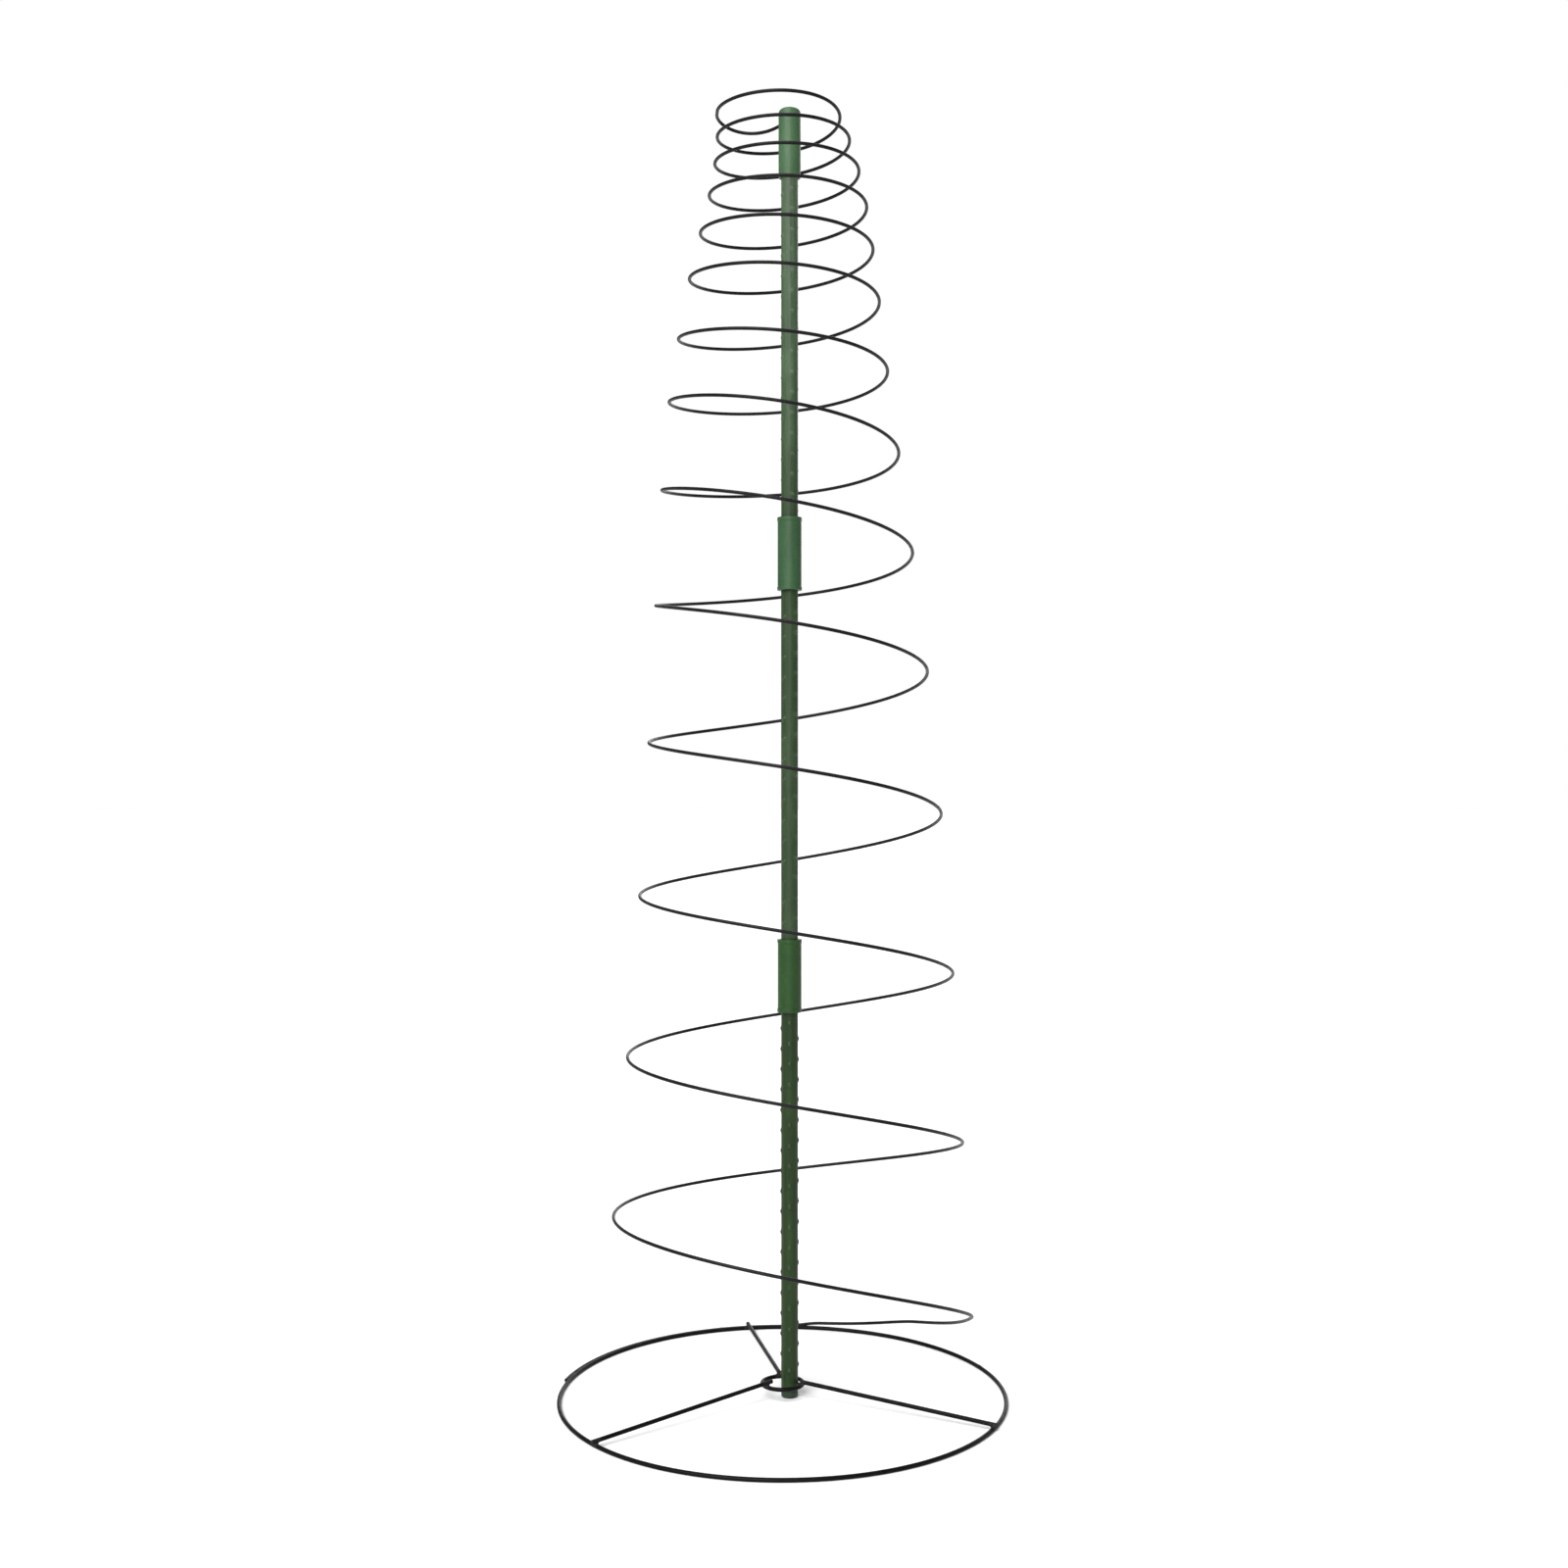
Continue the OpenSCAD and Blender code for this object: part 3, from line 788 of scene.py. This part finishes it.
def sleeve(section, node, material):
    """A joining sleeve: rounded rims, a stop inside, and a chamfered mouth for the section above."""
    low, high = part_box(node)[0].z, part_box(node)[1].z
    stop_low, stop_high = low + SLEEVE_GRIP, low + SLEEVE_GRIP + SLEEVE_STOP
    wall = SLEEVE_R - LIP_T
    free = STAKE_R + FIT_GAP
    edge, inner_edge = 0.3 * MM, 0.12 * MM
    corners = [
        (0, stop_high, 0),
        (free, stop_high, 0.2 * MM),
        (free, high - LEAD_IN, 0.2 * MM),
        (free + LEAD_IN, high, 0.15 * MM),
        (SLEEVE_R, high, edge),
        (SLEEVE_R, high - LIP_H, inner_edge),
        (wall, high - LIP_H - 0.25 * MM, 0.2 * MM),
        (wall, low + LIP_H + 0.25 * MM, 0.2 * MM),
        (SLEEVE_R, low + LIP_H, inner_edge),
        (SLEEVE_R, low, edge),
        (STAKE_R + SKIN_GAP, low, 0.1 * MM),
        (STAKE_R + SKIN_GAP, stop_low, 0),
        (0, stop_low, 0),
    ]
    profile = spaced(rounded(corners, 4), 0.8 * MM, False)
    relief = mould_marks(-76, (low + high) / 2)
    shell = revolve(node + "_shell", profile, 160, False, relief, wall - 0.05 * MM)
    dress(shell, section + "_stake", [node], material)


def top_cap(material):
    """The cap: a rounded solid head with a gate mark, a side hole for the wire, and a bore for
    the stake."""
    bore = STAKE_R + FIT_GAP
    bore_top = CAP_TOP - CAP_HEAD
    corners = [
        (0, bore_top, 0),
        (bore, bore_top, 0.3 * MM),
        (bore, CAP_Z + 0.4 * MM, 0.2 * MM),
        (bore + 0.4 * MM, CAP_Z, 0.15 * MM),
        (CAP_R, CAP_Z, 0.5 * MM),
        (CAP_R, CAP_TOP, CAP_ROUND),
        (1.9 * MM, CAP_TOP, 0.15 * MM),
        (1.6 * MM, CAP_TOP - 0.35 * MM, 0.15 * MM),
        (0, CAP_TOP - 0.35 * MM, 0),
    ]
    profile = spaced(rounded(corners, 8), 0.45 * MM, False)

    def relief(angle, z):
        line = np.sin(angle - math.radians(-100))
        below_round = np.clip((CAP_TOP - CAP_ROUND - z) / MM, 0, 1)
        ridge = 0.06 * MM * np.exp(-((line * CAP_R / (0.22 * MM)) ** 2)) * below_round
        away = (angle - HOOK_ANGLE + math.pi) % (2 * math.pi) - math.pi
        distance = np.hypot(away * CAP_R, z - HOOK_Z) / MM
        rim = 0.12 * MM * np.exp(-(((distance - 2.4) / 0.45) ** 2))
        sunk = -0.9 * MM * np.exp(-((distance / 1.65) ** 6))
        return (ridge + rim + sunk) * below_round

    shell = revolve("top_cap_shell", profile, 180, False, relief, CAP_R - 0.6 * MM)
    dress(shell, "cap", ["top_cap"], material)


# ------------------------------------------------------------------ stage, lights and camera
def lay_floor():
    floor = disc("floor", 30, 96)
    floor.data.materials.append(floor_paint())


def disc(name, radius, sides):
    angles = 2 * math.pi * np.arange(sides) / sides
    points = np.stack([radius * np.cos(angles), radius * np.sin(angles), np.zeros(sides)], 1)
    return make_object(name, points, [list(range(sides))])


def lights():
    """Soft studio light from the front left, a fill from the back, and a plain white backdrop."""
    world = bpy.data.worlds.new("studio")
    bpy.context.scene.world = world
    world.use_nodes = True
    tree = world.node_tree
    surround = tree.nodes["Background"]
    surround.inputs["Color"].default_value = (1, 1, 1, 1)
    surround.inputs["Strength"].default_value = 0.18
    backdrop = tree.nodes.new("ShaderNodeBackground")
    backdrop.inputs["Color"].default_value = (1, 1, 1, 1)
    path = tree.nodes.new("ShaderNodeLightPath")
    mix = tree.nodes.new("ShaderNodeMixShader")
    tree.links.new(path.outputs["Is Camera Ray"], mix.inputs[0])
    tree.links.new(surround.outputs[0], mix.inputs[1])
    tree.links.new(backdrop.outputs[0], mix.inputs[2])
    tree.links.new(mix.outputs[0], tree.nodes["World Output"].inputs["Surface"])
    sun("key", 4.6, 50, (48, -30))
    sun("front", 0.8, 14, (76, -5))
    sun("back", 1.6, 60, (58, 165))


def sun(name, energy, softness, aim):
    """A soft directional lamp. aim is its tilt from straight down and its turn from the front, in degrees."""
    light = bpy.data.lights.new(name, "SUN")
    light.energy = energy
    light.angle = math.radians(softness)
    lamp = bpy.data.objects.new(name, light)
    lamp.rotation_euler = (math.radians(aim[0]), 0, math.radians(aim[1]))
    bpy.context.scene.collection.objects.link(lamp)


def camera():
    data = bpy.data.cameras.new("camera")
    data.sensor_width = 36
    data.lens = 41.24
    data.clip_start, data.clip_end = 0.05, 100
    made = bpy.data.objects.new("camera", data)
    made.location = (0.001, -1.2829, 0.4373)
    made.rotation_euler = (math.radians(90), 0, 0)
    bpy.context.scene.collection.objects.link(made)
    bpy.context.scene.camera = made
    bpy.context.scene.view_settings.view_transform = "Standard"


# ------------------------------------------------------------------ the object
GREENS = {
    "cap": (0.0435, 0.0985, 0.044),
    "upper_top": (0.0732, 0.1145, 0.067),
    "upper_foot": (0.023, 0.048, 0.0185),
    "upper_sleeve": (0.0232, 0.0662, 0.0253),
    "middle": (0.0228, 0.0433, 0.0178),
    "lower_sleeve": (0.0085, 0.0428, 0.004),
    "lower": (0.0122, 0.029, 0.007),
    "plug": (0.017, 0.03, 0.019),
}


def build():
    """All pieces in the place of their CAD nodes; each new piece but the coil's spiral hangs on its body."""
    wire = coated_wire("frame_wire_paint", (0.003, 0.003, 0.0032), 0.07, 0.5)
    coil_paint = coated_wire("coil_wire_paint", (0.0055, 0.0053, 0.0056), 0.12, 0.35)
    weld = weld_metal("weld_paint", (0.009, 0.0086, 0.0082))
    base_frame(wire, weld)
    coil(coil_paint, weld)
    section_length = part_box("lower_top_plug")[1].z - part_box("lower_foot_plug")[0].z
    cap_cover = CAP_TOP - CAP_Z - CAP_HEAD
    top = section_length - SLEEVE_GRIP - NUB_CLEAR
    upper_top = section_length - cap_cover - NUB_CLEAR
    # for each section: where its nubs start and end, the first row's turn, low and high colour
    sections = {
        "lower": (PLUG_HEAD + NUB_CLEAR, top, 0, "lower", "lower"),
        "middle": (SLEEVE_GRIP + NUB_CLEAR, top, 45, "middle", "middle"),
        "upper": (SLEEVE_GRIP + NUB_CLEAR, upper_top, 25, "upper_foot", "upper_top"),
    }
    plug = moulded_plastic("plug_plastic", GREENS["plug"], 1)
    steel = tube_steel("tube_steel")
    for seed, (section, look) in enumerate(sections.items(), start=11):
        nub_low, nub_high, turn, low_green, high_green = look
        low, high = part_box(section + "_coat")
        greens = GREENS[low_green], GREENS[high_green]
        film = coat_plastic(section + "_coat_film", *greens, low.z, high.z)
        coat(section, nub_low, nub_high, turn, seed, film)
        for which in ("foot", "top"):
            end_plug(section, which, plug)
        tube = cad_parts[section + "_tube"]
        tube.data.materials.clear()
        tube.data.materials.append(steel)
    for section, node in (("lower", "lower_sleeve"), ("middle", "upper_sleeve")):
        sleeve(section, node, moulded_plastic(node + "_plastic", GREENS[node], SLEEVE_R - LIP_T))
    top_cap(moulded_plastic("cap_plastic", GREENS["cap"], CAP_R))


camera()
lights()
lay_floor()
build()
